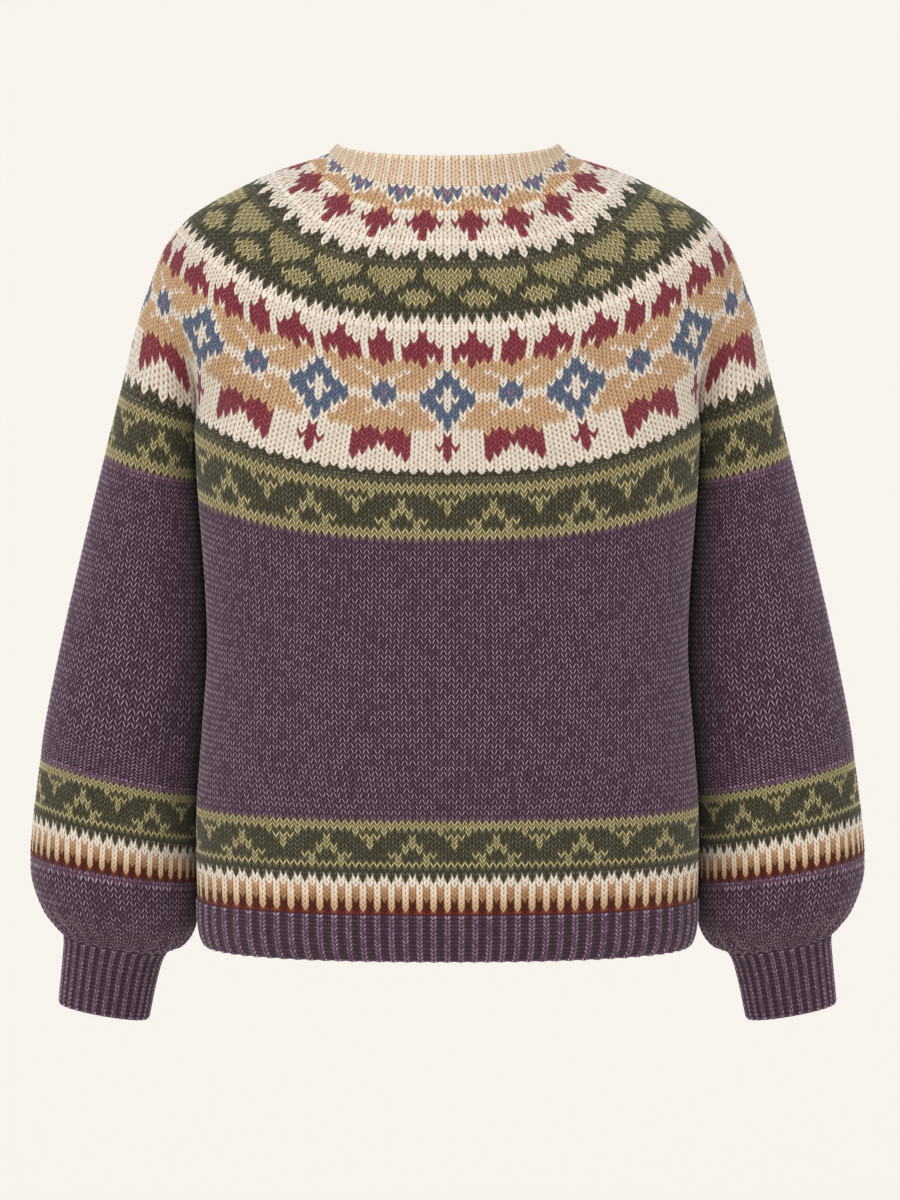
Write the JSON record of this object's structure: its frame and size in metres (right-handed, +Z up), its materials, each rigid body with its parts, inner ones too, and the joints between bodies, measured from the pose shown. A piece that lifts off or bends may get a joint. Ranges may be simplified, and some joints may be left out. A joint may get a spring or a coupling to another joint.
{
  "type": "fair isle yoke sweater",
  "caption": "Long-sleeved knitted sweater with a patterned round yoke, balloon sleeves and ribbed collar, hem and cuffs, in its worn hollow form.",
  "frame": {"origin": "middle of the neck opening, at the height where the wearer's shoulders bear the yoke", "axes": "-Y is the way the back faces, +X is to the right of someone who looks at the back, +Z is up"},
  "size_m": [0.6714, 0.2315, 0.7113],
  "materials": {
    "collar_rib": "ribbed knitted wool, matt",
    "yoke": "stocking-stitch knitted wool, matt",
    "body_back": "stocking-stitch knitted wool, matt",
    "body_front": "stocking-stitch knitted wool, matt",
    "hem_rib_back": "ribbed knitted wool, matt",
    "hem_rib_front": "ribbed knitted wool, matt",
    "sleeve_left": "stocking-stitch knitted wool, matt",
    "sleeve_right": "stocking-stitch knitted wool, matt",
    "cuff_left": "ribbed knitted wool, matt",
    "cuff_right": "ribbed knitted wool, matt"
  },
  "bodies": {
    "root": {"collar_rib": "collar_rib", "yoke": "yoke", "body_back": "body_back", "body_front": "body_front", "hem_rib_back": "hem_rib_back", "hem_rib_front": "hem_rib_front", "sleeve_left": "sleeve_left", "sleeve_right": "sleeve_right", "cuff_left": "cuff_left", "cuff_right": "cuff_right"}
  },
  "joints": []
}
